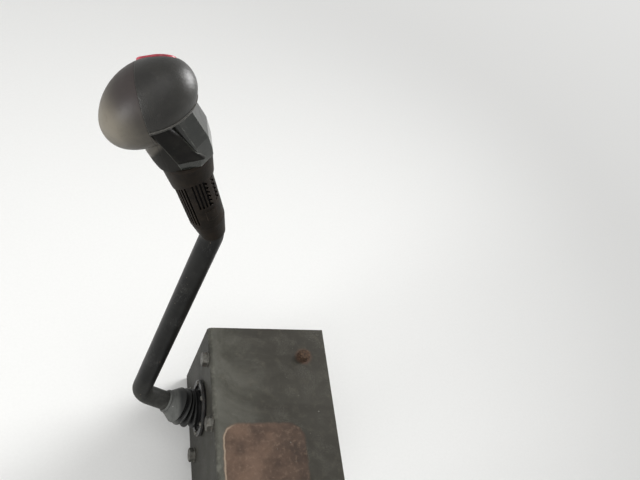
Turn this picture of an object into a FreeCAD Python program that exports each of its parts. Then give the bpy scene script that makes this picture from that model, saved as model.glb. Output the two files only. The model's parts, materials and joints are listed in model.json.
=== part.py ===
"""Right-hand control lever of a skid steer loader, with the riser panel and the pivot that carry it.

Millimetres. The origin is where the pivot shaft's axis meets the riser's front face, which is also
the middle of the riser's bolt pattern. +X points to the rear of the machine, +Y to its right side
and +Z up. The lever pitches about Y for driving and rolls about X for the bucket.
"""
import os
import math

import FreeCAD
import Part

V = FreeCAD.Vector
X, Y, Z = V(1, 0, 0), V(0, 1, 0), V(0, 0, 1)
ORIGIN = V(0, 0, 0)

# Gaps, and how far a cutting tool runs past what it cuts
seat_gap = 0.3
running_gap = 0.05
overrun = 1.0

# Riser panel, one folded sheet: the riser in front and the deck strip on top
sheet = 4.0
fold_radius = 6.0
panel_width = 224.0
panel_middle_y = -26.0
deck_top = 73.0
deck_depth = 165.0
riser_height = 165.0
foot_flange = 28.0
bolt_half_y = 45.0
bolt_half_z = 60.0
bolt_hole_r = 5.5
mouth_half = 29.5
mouth_corner = 15.0
deck_bolt_edge = 33.0
deck_bolt_y = 45.0

# Pivot behind the riser
pitch_x = 46.0
trunnion_r = 8.0
trunnion_end = 4.0
cheek_thick = 6.0
cheek_inner_y = 33.0
cheek_boss_r = 22.0
cheek_root_half = 38.0
bush_wall = 5.0
bush_flange_r = 17.0
bush_flange_thick = 2.0
housing_r = 21.0
housing_length = 52.0
housing_chamfer = 2.5
journal_r = 10.0
roll_bush_wall = 4.0
roll_bush_length = 18.0
roll_flange_step = 4.0

# Arms that pull the control rods
arm_thick = 8.0
drive_arm_reach = 62.0
drive_arm_root_r = 15.0
valve_arm_reach = 46.0
valve_arm_root_r = 16.0
valve_slot = 2.5
arm_eye_r = 11.0
stud_r = 5.0
stud_collar = 3.0
stud_tail = 6.0
stud_neck = 14.0
ball_r = 8.0
ball_sink = 3.2

# Lever tube: its corners, measured forwards of the riser, outwards and up from the shaft's axis
tube_r = 12.7
tube_wall = 2.5
tube_start_x = 10.0
shaft_bend_forward = 20.0
elbow_forward = 86.0
elbow_out = 12.0
elbow_rise = 29.0
bend_forward = 50.0
bend_out = 61.0
bend_rise = 339.0
grip_lean = 24.4
grip_out = 5.0
shaft_bend_r = 40.0
elbow_r = 20.0
upper_bend_r = 30.0
shaft_plug = 18.0
shoulder = 6.0
seat_r = 8.0
thread_r = 7.0
thread_length = 14.0
washer_r = 14.0
washer_thick = 2.5
nut_flats = 21.0
nut_height = 8.0

# Grip, measured along its own axis from the upper bend; x to its front, y to its left
sleeve_start = 3.0
sleeve_swell = 30.0
sleeve_foot_wall = 1.0
sleeve_swell_r = 18.6
sleeve_top_r = 20.6
sleeve_end = 106.0
groove_step = 10.5
groove_front_rows = 7
groove_rear_rows = 4
groove_rear_first = 91.0
groove_width = 2.0
groove_depth = 1.7
groove_cutter = 6.0
groove_front_start = 36.0
groove_rear_start = 62.0
slant_rows = 7
slant_pitch = 6.0
slant_turns = (133.0, 149.0, 165.0)
slant_angle = 38.0
slant_length = 7.0
pad_turn = 118.0
pad_width = 12.0
pad_start = 43.0
pad_end = 56.0
pad_proud = 0.8
collar_start = 91.5
collar_end = 126.0
collar_foot_wall = 1.2
collar_top_r = 26.0
collar_back = 1.5
collar_edge = 1.5
collar_arch_r = 30.0
collar_arch_x = -6.0
collar_arch_top = 102.5
tube_end = 150.0
neck_chamfer = 12.0
neck_round = 17.0
shell_wall = 3.0

head_forward = 14.0
head_height = 192.5
head_length = 101.0
head_r = 35.5
head_end_r = 27.5
head_tilt = 34.0
lip_drop = 3.5
lip_proud = 0.9
lip_tall = 1.8
seam_x = 14.5
seam_low_x = 4.2
spigot = 8.0

switch_normal = V(-0.06, 0.84, 0.55)
switch_face = 38.2
switch_back = 10.0
switch_proud = 3.0
switch_inset = 2.0
switch_seat = 5.0
switch_half_length = 19.0
switch_r = 12.5
switch_edge = 1.2
rocker_length = 17.0
rocker_width = 10.0
rocker_high = 1.3
rocker_dip = 0.5

palm_low = 8.0
palm_tip_x = -22.5
palm_root_x = -2.0
palm_low_y = 24.0
palm_top_y = 32.5
palm_top_swell = 2.8
palm_inner_y = 14.0
palm_round = 3.0

# Bellows on the shaft, and the ring that holds its foot
bellows_first = 12.0
bellows_pitch = 8.0
bellows_folds = 4
bellows_r = 26.5
bellows_taper = 0.25
bellows_valley_r = 21.0
bellows_crest_flat = 2.2
bellows_wall = 2.0
bellows_cone_end = 54.5
bellows_lip = 1.3
bellows_foot_r = 36.0
bellows_foot_thick = 2.5
ring_r = 38.0
ring_inner_r = 31.0
ring_thick = 3.0


def cylinder(radius, start, end):
    """A round bar between two points."""
    return Part.makeCylinder(radius, (end - start).Length, start, end - start)


def ring(outer, inner, start, end):
    return cylinder(outer, start, end).cut(cylinder(inner, start, end))


def box(low, high):
    return Part.makeBox(high.x - low.x, high.y - low.y, high.z - low.z, low)


def closed(points):
    """A closed outline of straight lines."""
    return Part.makePolygon(points + [points[0]])


def prism(points, along):
    """A flat outline pushed along a vector."""
    return Part.Face(closed(points)).extrude(along)


def revolved(points, base, axis):
    """A closed outline of straight lines turned about an axis."""
    return Part.Face(closed(points)).revolve(base, axis, 360)


def filleted_path(points, radii):
    """Straight runs between the points, joined by tangent arcs of the given radii."""
    edges = []
    start = points[0]
    for before, corner, after, radius in zip(points, points[1:], points[2:], radii):
        into = (corner - before).normalize()
        out = (after - corner).normalize()
        turn = into.getAngle(out)
        reach = radius * math.tan(turn / 2)
        first = corner - into * reach
        last = corner + out * reach
        inward = (out - into).normalize()
        middle = corner + inward * (radius / math.cos(turn / 2) - radius)
        edges.append(Part.makeLine(start, first))
        edges.append(Part.Arc(first, middle, last).toShape())
        start = last
    edges.append(Part.makeLine(start, points[-1]))
    return Part.Wire(edges)


def swept(path, radius):
    """A round bar that follows a path."""
    first = path.Edges[0]
    start = first.valueAt(first.FirstParameter)
    heading = first.tangentAt(first.FirstParameter)
    section = Part.Wire(Part.makeCircle(radius, start, heading))
    return path.makePipeShell([section], True, True)


def along(path, distance):
    """The point of a path at a distance from its start, and the path's heading there."""
    for edge in path.Edges:
        if distance <= edge.Length:
            break
        distance -= edge.Length
    place = edge.getParameterByLength(distance)
    return edge.valueAt(place), edge.tangentAt(place)


def upper_bend():
    return V(-bend_forward, bend_out, bend_rise)


def grip_axis():
    """The grip leans forwards and a little outwards."""
    lean, out = math.radians(grip_lean), math.radians(grip_out)
    return V(-math.tan(lean), math.tan(out), 1).normalize()


def grip_placement():
    """The grip's own frame: x to its front, y to its left, z up along its axis."""
    up = grip_axis()
    left = up.cross(-X).normalize()
    front = left.cross(up)
    return FreeCAD.Placement(upper_bend(), FreeCAD.Rotation(front, left, up, "ZXY"))


def on_grip(shape):
    """Moves a shape from the grip's own frame to its place on the lever."""
    placed = shape.copy()
    placed.Placement = grip_placement().multiply(placed.Placement)
    return placed


def mirrored(shape):
    """The same shape on the grip's other side."""
    return shape.mirror(ORIGIN, Y)


def on_fold(edge, height):
    """Whether an edge runs along Y at the front of the sheet and at this height."""
    first, last = (v.Point for v in edge.Vertexes)
    along_y = first.isEqual(V(last.x, first.y, last.z), 1e-6)
    at_front = first.x < sheet + 1e-6
    return along_y and at_front and abs(first.z - height) < 1e-6


def mouth():
    """The square opening behind the bellows, its corners round enough to hide under the foot."""
    block = box(V(-overrun, -mouth_half, -mouth_half), V(sheet + overrun, mouth_half, mouth_half))
    corners = [e for e in block.Edges if abs(e.Vertexes[0].X - e.Vertexes[1].X) > sheet]
    return block.makeFillet(mouth_corner, corners)


def riser_panel():
    """The folded sheet, with a foot flange, the bellows' mouth and the bolt holes."""
    low_y = panel_middle_y - panel_width / 2
    high_y = low_y + panel_width
    bottom = deck_top - riser_height
    outer = box(V(0, low_y, bottom), V(deck_depth, high_y, deck_top))
    fold = [e for e in outer.Edges if on_fold(e, deck_top) or on_fold(e, bottom)]
    outer = outer.makeFillet(fold_radius, fold)
    inner = box(V(sheet, low_y, bottom + sheet), V(deck_depth, high_y, deck_top - sheet))
    fold = [e for e in inner.Edges if on_fold(e, deck_top - sheet) or on_fold(e, bottom + sheet)]
    inner = inner.makeFillet(fold_radius - sheet, fold)
    panel = outer.cut(inner)
    panel = panel.cut(box(V(foot_flange, low_y, bottom), V(deck_depth, high_y, deck_top - sheet)))
    for y in (-bolt_half_y, bolt_half_y):
        for z in (-bolt_half_z, bolt_half_z):
            panel = panel.cut(cylinder(bolt_hole_r, V(-overrun, y, z), V(sheet + overrun, y, z)))
    panel = panel.cut(mouth())
    under = V(deck_depth - deck_bolt_edge, deck_bolt_y, deck_top - sheet - overrun)
    return panel.cut(cylinder(bolt_hole_r, under, under + Z * (sheet + 2 * overrun)))


def cheek(side):
    """A bearing plate welded to the riser's back, with a round end about the pitch axis."""
    low = side * cheek_inner_y if side > 0 else side * (cheek_inner_y + cheek_thick)
    plate = prism([V(sheet, low, -cheek_root_half), V(pitch_x, low, -cheek_boss_r),
                   V(pitch_x, low, cheek_boss_r), V(sheet, low, cheek_root_half)], Y * cheek_thick)
    start = V(pitch_x, low, 0)
    plate = plate.fuse(cylinder(cheek_boss_r, start, start + Y * cheek_thick)).removeSplitter()
    bore = cylinder(trunnion_r + bush_wall, start - Y * overrun, start + Y * (cheek_thick + overrun))
    return plate.cut(bore)


def pitch_bush(side):
    """A rubber torsion bush in a cheek, with its flange towards the cradle."""
    inner = V(pitch_x, side * (cheek_inner_y - bush_flange_thick), 0)
    face = V(pitch_x, side * cheek_inner_y, 0)
    outer = V(pitch_x, side * (cheek_inner_y + cheek_thick), 0)
    bush = cylinder(trunnion_r + bush_wall, inner, outer).fuse(cylinder(bush_flange_r, inner, face))
    return bush.cut(cylinder(trunnion_r + running_gap, inner, outer)).removeSplitter()


def cradle():
    """The housing that turns on two trunnions and holds the roll shaft's bushes."""
    half = housing_length / 2
    front, back = V(pitch_x - half, 0, 0), V(pitch_x + half, 0, 0)
    boss_end = cheek_inner_y - bush_flange_thick - seat_gap
    pin_end = cheek_inner_y + cheek_thick + trunnion_end
    body = cylinder(housing_r, front, back)
    body = body.makeChamfer(housing_chamfer, [e for e in body.Edges if e.Closed])
    for side in (-1, 1):
        body = body.fuse(cylinder(bush_flange_r, V(pitch_x, 0, 0), V(pitch_x, side * boss_end, 0)))
        body = body.fuse(cylinder(trunnion_r, V(pitch_x, 0, 0), V(pitch_x, side * pin_end, 0)))
    bore = cylinder(journal_r + roll_bush_wall, front - X * overrun, back + X * overrun)
    return body.cut(bore).removeSplitter()


def roll_bush(side):
    """A rubber torsion bush pressed into an end of the cradle's bore."""
    end = V(pitch_x + side * housing_length / 2, 0, 0)
    inner = end - X * side * roll_bush_length
    outer = end + X * side * bush_flange_thick
    body = cylinder(journal_r + roll_bush_wall, inner, outer)
    body = body.fuse(cylinder(journal_r + roll_bush_wall + roll_flange_step, end, outer))
    return body.cut(cylinder(journal_r + running_gap, inner, outer)).removeSplitter()


def arm_plate(start, end, root_r, flat_dir):
    """A flat arm with round ends and an eye for a stud, from a root centre to an eye centre."""
    heading = (end - start).normalize()
    side = heading.cross(flat_dir).normalize()
    lift = flat_dir * arm_thick
    web = prism([start + side * root_r, start - side * root_r,
                 end - side * arm_eye_r, end + side * arm_eye_r], lift)
    plate = web.fuse(cylinder(root_r, start, start + lift)).fuse(cylinder(arm_eye_r, end, end + lift))
    return plate.cut(cylinder(stud_r, end, end + lift)).removeSplitter()


def drive_arm():
    """Hangs from the cradle's housing and carries the drive rod's ball."""
    start = V(pitch_x, -arm_thick / 2, 0)
    plate = arm_plate(start, start - Z * drive_arm_reach, drive_arm_root_r, Y)
    half = housing_length / 2
    return plate.cut(cylinder(housing_r, V(pitch_x - half, 0, 0), V(pitch_x + half, 0, 0)))


def ball_stud(base, direction):
    """A shank through an arm's eye, with a collar and a ball."""
    through = base - direction * (arm_thick + stud_tail)
    neck = base + direction * stud_neck
    stud = cylinder(stud_r, through, neck)
    stud = stud.fuse(cylinder(stud_r + stud_collar, base, base + direction * stud_collar))
    return stud.fuse(Part.makeSphere(ball_r, neck + direction * (ball_r - ball_sink))).removeSplitter()


def valve_arm_x():
    """Where the valve arm's front face stands: clear of the rear bush's flange."""
    return pitch_x + housing_length / 2 + bush_flange_thick + seat_gap


def valve_arm():
    """Clamped on the shaft's seat behind the cradle, it carries the bucket rod's ball."""
    start = V(valve_arm_x(), 0, 0)
    plate = arm_plate(start, start - Z * valve_arm_reach, valve_arm_root_r, X)
    slot_top = valve_arm_root_r + overrun
    slot = box(V(start.x, -valve_slot / 2, 0), V(start.x + arm_thick, valve_slot / 2, slot_top))
    return plate.cut(cylinder(seat_r, start, start + X * arm_thick)).cut(slot)


def roll_shaft():
    """A turned bar: a plug in the tube, a shoulder, the journal, the arm's seat and a thread."""
    back = tube_start_x + shoulder
    seat = valve_arm_x()
    thread = seat + arm_thick
    end = thread + washer_thick + thread_length
    shaft = cylinder(tube_r - tube_wall, V(tube_start_x - shaft_plug, 0, 0), V(tube_start_x, 0, 0))
    shaft = shaft.fuse(cylinder(tube_r, V(tube_start_x, 0, 0), V(back, 0, 0)))
    shaft = shaft.fuse(cylinder(journal_r, V(back, 0, 0), V(seat, 0, 0)))
    shaft = shaft.fuse(cylinder(seat_r, V(seat, 0, 0), V(thread, 0, 0)))
    return shaft.fuse(cylinder(thread_r, V(thread, 0, 0), V(end, 0, 0))).removeSplitter()


def shaft_washer():
    start = V(valve_arm_x() + arm_thick, 0, 0)
    return ring(washer_r, thread_r, start, start + X * washer_thick)


def shaft_nut():
    """A hexagonal nut on the shaft's thread."""
    start = V(valve_arm_x() + arm_thick + washer_thick, 0, 0)
    corner = nut_flats / math.sqrt(3)
    angles = [math.radians(60 * i) for i in range(6)]
    points = [start + V(0, corner * math.cos(a), corner * math.sin(a)) for a in angles]
    return prism(points, X * nut_height).cut(cylinder(thread_r, start, start + X * nut_height))


def lever_path():
    """The tube's centre line, from the shaft's shoulder forwards, up and into the grip."""
    points = [V(tube_start_x, 0, 0), V(-shaft_bend_forward, 0, 0),
              V(-elbow_forward, elbow_out, elbow_rise), upper_bend(),
              upper_bend() + grip_axis() * tube_end]
    return filleted_path(points, (shaft_bend_r, elbow_r, upper_bend_r))


def lever_tube():
    path = lever_path()
    return swept(path, tube_r).cut(swept(path, tube_r - tube_wall))


def sleeve_groove(angle, height, length, slant):
    """A cutter for one groove: it lies on the sleeve's slope at an angle about the grip's axis."""
    slope = math.degrees(math.atan2(sleeve_top_r - sleeve_swell_r, sleeve_end - sleeve_swell))
    floor_r = sleeve_swell_r - groove_depth + (height - sleeve_swell) * math.tan(math.radians(slope))
    cutter = box(V(0, -groove_width / 2, 0), V(groove_cutter, groove_width / 2, length))
    cutter.rotate(ORIGIN, X, slant)
    cutter.rotate(ORIGIN, Y, slope)
    cutter.translate(V(floor_r, 0, height))
    cutter.rotate(ORIGIN, Z, angle)
    return cutter


def sleeve_grooves():
    """Long grooves round the front, short ones behind each flank and zigzags at the rear."""
    front = [groove_step * (row + 0.5) for row in range(groove_front_rows)]
    rear = [groove_rear_first + groove_step * row for row in range(groove_rear_rows)]
    cutters = []
    for side in (-1, 1):
        cutters += [sleeve_groove(side * turn, groove_front_start, sleeve_end, 0) for turn in front]
        cutters += [sleeve_groove(side * turn, groove_rear_start, sleeve_end, 0) for turn in rear]
        slant = side * slant_angle
        for turn in slant_turns:
            for row in range(slant_rows):
                height = groove_rear_start + slant_pitch * row
                cutters.append(sleeve_groove(side * turn, height, slant_length, slant))
            slant = -slant
    return Part.Compound(cutters)


def sleeve_form(grow):
    """The sleeve's outside, grown for the raised pads."""
    profile = [V(0, 0, sleeve_start), V(tube_r + sleeve_foot_wall + grow, 0, sleeve_start),
               V(sleeve_swell_r + grow, 0, sleeve_swell), V(sleeve_top_r + grow, 0, sleeve_end),
               V(0, 0, sleeve_end)]
    return revolved(profile, ORIGIN, Z)


def sleeve_pad(side):
    """A bare raised pad low on a flank."""
    block = box(V(0, -pad_width / 2, pad_start), V(2 * sleeve_top_r, pad_width / 2, pad_end))
    block.rotate(ORIGIN, Z, side * pad_turn)
    return sleeve_form(pad_proud).common(block)


def grip_sleeve():
    """The ribbed rubber sleeve under the grip, bored to the bent tube."""
    sleeve = sleeve_form(0).cut(sleeve_grooves()).fuse(sleeve_pad(-1)).fuse(sleeve_pad(1))
    return on_grip(sleeve.removeSplitter()).cut(swept(lever_path(), tube_r))


def grip_collar():
    """The flared collar between the sleeve and the neck, its lower edge arched on both flanks."""
    # height, radius, shift to the rear
    table = ((collar_start, sleeve_top_r + collar_foot_wall, 0),
             (collar_end - collar_edge, collar_top_r, collar_back),
             (collar_end, collar_top_r - collar_edge, collar_back))
    wires = [Part.Wire(Part.makeCircle(radius, V(-back, 0, z), Z)) for z, radius, back in table]
    body = Part.makeLoft(wires, True, True)
    body = body.cut(cylinder(sleeve_top_r, V(0, 0, 0), V(0, 0, sleeve_end)))
    body = body.cut(cylinder(tube_r, V(0, 0, 0), V(0, 0, collar_end + overrun)))
    middle = V(collar_arch_x, 0, collar_arch_top - collar_arch_r)
    arch = cylinder(collar_arch_r, middle - Y * 2 * collar_top_r, middle + Y * 2 * collar_top_r)
    return on_grip(body.cut(arch))


def head_centre():
    return V(head_forward, 0, head_height)


def head_axis():
    """The head's long axis points forwards and down."""
    tilt = math.radians(head_tilt)
    return V(math.cos(tilt), 0, -math.sin(tilt))


def lip_height():
    return head_height - lip_drop


def egg(inset):
    """The head's form, a closed oval of arcs turned about its long axis, with an inset for its wall."""
    length, radius, end_r = head_length / 2 - inset, head_r - inset, head_end_r - inset
    half_gap = length - end_r
    flank = (half_gap ** 2 + radius ** 2 - end_r ** 2) / (2 * (radius - end_r))
    low = V(0, 0, radius - flank)
    joins = []
    ends = []
    for side in (-1, 1):
        end_centre = V(side * half_gap, 0, 0)
        joins.append(end_centre + (end_centre - low).normalize() * end_r)
        middle = end_centre + ((joins[-1] - end_centre).normalize() + X * side).normalize() * end_r
        ends.append(Part.Arc(V(side * length, 0, 0), middle, joins[-1]).toShape())
    flank_arc = Part.Arc(joins[0], V(0, 0, radius), joins[1]).toShape()
    chord = Part.makeLine(V(-length, 0, 0), V(length, 0, 0))
    solid = Part.Face(Part.Wire([ends[0], flank_arc, ends[1], chord])).revolve(ORIGIN, X, 360)
    solid.rotate(ORIGIN, Y, head_tilt)
    solid.translate(head_centre())
    return solid


def neck_outline(front, rear, half, z):
    """One section of the neck: round corners in front, cut corners at the rear."""
    c, r = neck_chamfer, neck_round
    edges = [Part.makeLine(V(rear, c - half, z), V(rear, half - c, z)),
             Part.makeLine(V(rear, half - c, z), V(rear + c, half, z)),
             Part.makeLine(V(rear + c, half, z), V(front - r, half, z))]
    mid = r * (1 - math.sqrt(0.5))
    edges.append(Part.Arc(V(front - r, half, z), V(front - mid, half - mid, z),
                          V(front, half - r, z)).toShape())
    edges.append(Part.makeLine(V(front, half - r, z), V(front, r - half, z)))
    edges.append(Part.Arc(V(front, r - half, z), V(front - mid, mid - half, z),
                          V(front - r, -half, z)).toShape())
    edges += [Part.makeLine(V(front - r, -half, z), V(rear + c, -half, z)),
              Part.makeLine(V(rear + c, -half, z), V(rear, c - half, z))]
    return Part.Wire(edges)


def neck(inset):
    """The moulded neck between the collar and the head, with an inset for its wall."""
    span = lip_height() - collar_end
    # share of the height, reach to the front, reach to the rear, half width
    table = ((0.0, 25.5, 28.0, 22.5),
             (0.13, 27.5, 29.0, 22.8),
             (0.41, 29.5, 29.2, 25.0),
             (1.0, 27.0, 21.5, 25.0))
    wires = [neck_outline(front - inset, inset - rear, half - inset, collar_end + share * span)
             for share, front, rear, half in table]
    return Part.makeLoft(wires, True, True)


def spigot_block():
    """The core's narrower top, which stands up inside the head."""
    base = neck(shell_wall + seat_gap)
    top = lip_height()
    roof = [f for f in base.Faces if f.BoundBox.ZMin > top - overrun / 2][0]
    return roof.extrude(Z * spigot).common(egg(shell_wall + seat_gap))


def front_side():
    """The space in front of the seam between the shells, which slants back below the head."""
    reach = head_length
    top = head_height + reach
    slant = (seam_x - seam_low_x) / (lip_height() - collar_end - palm_low)
    foot_x = seam_x - slant * (lip_height() - collar_end)
    outline = [V(seam_x, -reach, top), V(seam_x, -reach, lip_height()), V(foot_x, -reach, collar_end),
               V(reach, -reach, collar_end), V(reach, -reach, top)]
    return prism(outline, Y * 2 * reach)


def tube_hole():
    return cylinder(tube_r, V(0, 0, collar_end - overrun), V(0, 0, tube_end))


def switch_direction():
    """The switch plate's outward direction in the grip's own frame."""
    turned = grip_placement().Rotation.inverted().multVec(switch_normal)
    return turned.normalize()


def switch_along():
    """The switch plate's long direction: the head's long axis, laid in the plate's plane."""
    out = switch_direction()
    return (head_axis() - out * head_axis().dot(out)).normalize()


def switch_centre(depth):
    """The middle of the switch plate, at a depth below its face."""
    return head_centre() + switch_direction() * (switch_face - depth) - switch_along() * switch_back


def stadium(depth, height, grow):
    """A long plate with round ends, standing at a depth below the switch plate's face."""
    out, run = switch_direction(), switch_along()
    width = out.cross(run)
    centre = switch_centre(depth)
    radius = switch_r + grow
    half = switch_half_length - switch_r
    ends = [centre - run * half, centre + run * half]
    body = prism([ends[0] - width * radius, ends[1] - width * radius,
                  ends[1] + width * radius, ends[0] + width * radius], out * height)
    for end in ends:
        body = body.fuse(cylinder(radius, end, end + out * height))
    return body.removeSplitter()


def switch_flat():
    """The space above the head's flat, which the switch plate stands on."""
    centre = switch_centre(switch_proud)
    return cylinder(head_length, centre, centre + switch_direction() * head_r)


def grip_front_shell():
    """The front half of the grip's housing: the head's nose and the neck's front wall."""
    outer = egg(0).fuse(neck(0)).common(front_side())
    shell = outer.cut(egg(shell_wall)).cut(neck(shell_wall)).cut(switch_flat())
    shell = shell.cut(stadium(switch_proud + switch_inset, switch_inset + overrun, 0))
    return on_grip(shell.removeSplitter())


def grip_rear_shell():
    """The rear half of the head, open below, with a lip round its edge and a seat for the switch."""
    lip = lip_height()
    above = box(V(-head_length, -head_length, lip), V(head_length, head_length, lip + head_length))
    rim = box(V(-head_length, -head_length, lip), V(head_length, head_length, lip + lip_tall))
    shell = egg(0).common(above).fuse(egg(-lip_proud).common(rim)).cut(front_side())
    cavity = egg(shell_wall)
    seat = stadium(switch_proud + switch_seat, switch_seat, shell_wall)
    shell = shell.cut(cavity.cut(seat)).cut(switch_flat())
    shell = shell.cut(stadium(switch_proud + switch_inset, switch_inset + overrun, 0))
    return on_grip(shell.removeSplitter())


def grip_core():
    """The glossy inner neck: it grips the tube, shows at the rear and carries the shells."""
    body = neck(0).cut(front_side()).fuse(neck(shell_wall)).fuse(spigot_block())
    return on_grip(body.cut(tube_hole()).removeSplitter())


def switch_plate():
    """The red plate on the head's flat, set into its seat."""
    plate = stadium(switch_proud + switch_inset, switch_proud + switch_inset, 0)
    out = switch_direction()
    top = switch_centre(0)
    rim = [e for e in plate.Edges if all(abs((v.Point - top).dot(out)) < 1e-6 for v in e.Vertexes)]
    return on_grip(plate.makeFillet(switch_edge, rim))


def switch_rocker():
    """The rocker on the plate, dipped in its middle for the thumb."""
    out, run = switch_direction(), switch_along()
    width = out.cross(run)
    start = switch_centre(0) - width * rocker_width / 2
    half = rocker_length / 2
    outline = [start - run * half, start + run * half, start + run * half + out * rocker_high,
               start + out * rocker_dip, start - run * half + out * rocker_high]
    return on_grip(prism(outline, width * rocker_width))


def on_wedge_outside(edge, low):
    """Whether an edge is the wedge's rear ridge or the outer or rear edge of its foot."""
    ends = [v.Point for v in edge.Vertexes]
    at_foot = all(abs(p.z - low) < 1e-6 for p in ends)
    at_rear = all(p.x < palm_root_x + 1e-6 for p in ends)
    outside = all(p.y > palm_inner_y + 1e-6 for p in ends)
    return outside and (at_foot or (at_rear and abs(ends[0].z - ends[1].z) > 1))


def palm_wedge():
    """A pointed wedge on the grip's left, from the head's lip down to a tip at the rear."""
    low, top = collar_end + palm_low, lip_height()
    foot = closed([V(palm_tip_x, palm_inner_y, low), V(palm_tip_x, palm_low_y, low),
                   V(seam_low_x, palm_low_y, low), V(seam_low_x, palm_inner_y, low)])
    head = closed([V(palm_root_x, palm_inner_y, top), V(palm_root_x, palm_top_y, top),
                   V(seam_x, palm_top_y + palm_top_swell, top), V(seam_x, palm_inner_y, top)])
    wedge = Part.makeLoft([foot, head], True, True)
    wedge = wedge.makeFillet(palm_round, [e for e in wedge.Edges if on_wedge_outside(e, low)])
    return wedge.cut(neck(0)).cut(front_side())


def palm_flange():
    """The two wedges that the hand's edge and thumb rest on."""
    wedge = palm_wedge()
    return on_grip(Part.Compound([wedge, mirrored(wedge)]))


def bellows_stations(inset):
    """Distances in front of the riser and radii of the boot's folds and its front cone."""
    stations = [(bellows_foot_thick if inset == 0 else 0, bellows_valley_r - inset)]
    for i in range(bellows_folds):
        crest = bellows_first + bellows_pitch * i
        radius = bellows_r - bellows_taper * i ** 2 - inset
        stations.append((crest - bellows_crest_flat / 2, radius))
        stations.append((crest + bellows_crest_flat / 2, radius))
        if i < bellows_folds - 1:
            stations.append((crest + bellows_pitch / 2, bellows_valley_r - inset))
    stations.append((bellows_cone_end, tube_r + bellows_lip - inset * bellows_lip / bellows_wall))
    return stations


def bellows_body(inset):
    """The boot's form along the tube's own bent axis."""
    path = lever_path()
    wires = []
    for distance, radius in bellows_stations(inset):
        centre, heading = along(path, tube_start_x + distance)
        wires.append(Part.Wire(Part.makeCircle(radius, centre, heading)))
    return Part.makeLoft(wires, True, True)


def bellows():
    """A folded rubber boot between the riser and the tube."""
    foot = cylinder(bellows_foot_r, V(-bellows_foot_thick, 0, 0), ORIGIN)
    body = foot.fuse(bellows_body(0)).cut(bellows_body(bellows_wall))
    return body.removeSplitter()


def bellows_ring():
    start = V(-bellows_foot_thick, 0, 0)
    return ring(ring_r, ring_inner_r, start - X * ring_thick, start)


nodes = {
    "riser_panel": riser_panel(),
    "bearing_cheek_left": cheek(-1),
    "bearing_cheek_right": cheek(1),
    "torsion_bush_left": pitch_bush(-1),
    "torsion_bush_right": pitch_bush(1),
    "bellows_ring": bellows_ring(),
    "bellows": bellows(),
    "cradle": cradle(),
    "roll_torsion_bush_front": roll_bush(-1),
    "roll_torsion_bush_rear": roll_bush(1),
    "drive_arm": drive_arm(),
    "drive_ball_stud": ball_stud(V(pitch_x, arm_thick / 2, -drive_arm_reach), Y),
    "roll_shaft": roll_shaft(),
    "valve_arm": valve_arm(),
    "valve_ball_stud": ball_stud(V(valve_arm_x() + arm_thick, 0, -valve_arm_reach), X),
    "shaft_washer": shaft_washer(),
    "shaft_nut": shaft_nut(),
    "lever_tube": lever_tube(),
    "grip_sleeve": grip_sleeve(),
    "grip_collar": grip_collar(),
    "grip_core": grip_core(),
    "grip_front_shell": grip_front_shell(),
    "grip_rear_shell": grip_rear_shell(),
    "palm_flange": palm_flange(),
    "switch_plate": switch_plate(),
    "switch_rocker": switch_rocker(),
}

os.makedirs("parts", exist_ok=True)
for name, shape in nodes.items():
    shape.exportStep(f"parts/{name}.step")
    print(name, "solids", len(shape.Solids), "valid", shape.isValid(), "volume", round(shape.Volume))
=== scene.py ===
# %% [markdown]
# # A loader's control lever, dressed for its photograph
# The solids of the lever come packed from the CAD side and stay where they are. This lesson gives
# them their finishes and adds what a solid model leaves out: the folded boot, the worn round wings,
# bolts, screws, weld beads and a thread. Everything is in metres, in the same frame as the solids:
# the origin is on the riser's front face, on the pivot shaft's axis, +X runs to the rear of the
# machine, +Y to its right side and +Z up.

# %% Load the solids
import json
import math

import bmesh
import bpy
from mathutils import Matrix, Vector

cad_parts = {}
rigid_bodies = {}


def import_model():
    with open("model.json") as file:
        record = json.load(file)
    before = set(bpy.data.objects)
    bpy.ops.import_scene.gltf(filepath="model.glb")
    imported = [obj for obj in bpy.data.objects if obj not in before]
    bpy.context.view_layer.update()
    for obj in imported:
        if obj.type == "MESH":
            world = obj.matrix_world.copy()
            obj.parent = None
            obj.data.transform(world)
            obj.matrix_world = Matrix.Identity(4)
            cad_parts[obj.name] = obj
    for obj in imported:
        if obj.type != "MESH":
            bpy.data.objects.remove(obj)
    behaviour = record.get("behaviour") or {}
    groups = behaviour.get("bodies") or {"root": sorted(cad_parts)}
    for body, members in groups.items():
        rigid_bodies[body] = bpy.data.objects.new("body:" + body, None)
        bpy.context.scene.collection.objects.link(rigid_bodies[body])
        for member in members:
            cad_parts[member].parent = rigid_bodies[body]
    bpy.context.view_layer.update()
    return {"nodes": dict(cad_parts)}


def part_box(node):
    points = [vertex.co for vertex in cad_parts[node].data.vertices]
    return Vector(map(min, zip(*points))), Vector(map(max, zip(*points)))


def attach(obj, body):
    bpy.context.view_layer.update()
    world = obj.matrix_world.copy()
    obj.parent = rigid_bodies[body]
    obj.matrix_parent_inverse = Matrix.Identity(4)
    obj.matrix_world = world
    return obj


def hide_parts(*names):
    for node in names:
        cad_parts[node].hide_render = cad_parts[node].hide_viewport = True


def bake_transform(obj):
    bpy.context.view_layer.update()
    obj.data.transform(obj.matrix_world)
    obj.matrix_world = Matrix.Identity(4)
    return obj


for leftover in list(bpy.data.objects):
    bpy.data.objects.remove(leftover)
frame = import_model()
scene = bpy.context.scene
nodes = frame["nodes"]
X, Z = Vector((1, 0, 0)), Vector((0, 0, 1))

# %% [markdown]
# ## The camera
# The photograph was taken by hand, looking down at the lever. Its straight rows and right angles
# gave the lens and the directions below. They are kept as three unit vectors, because a camera's
# matrix is just those three and its place.

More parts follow.
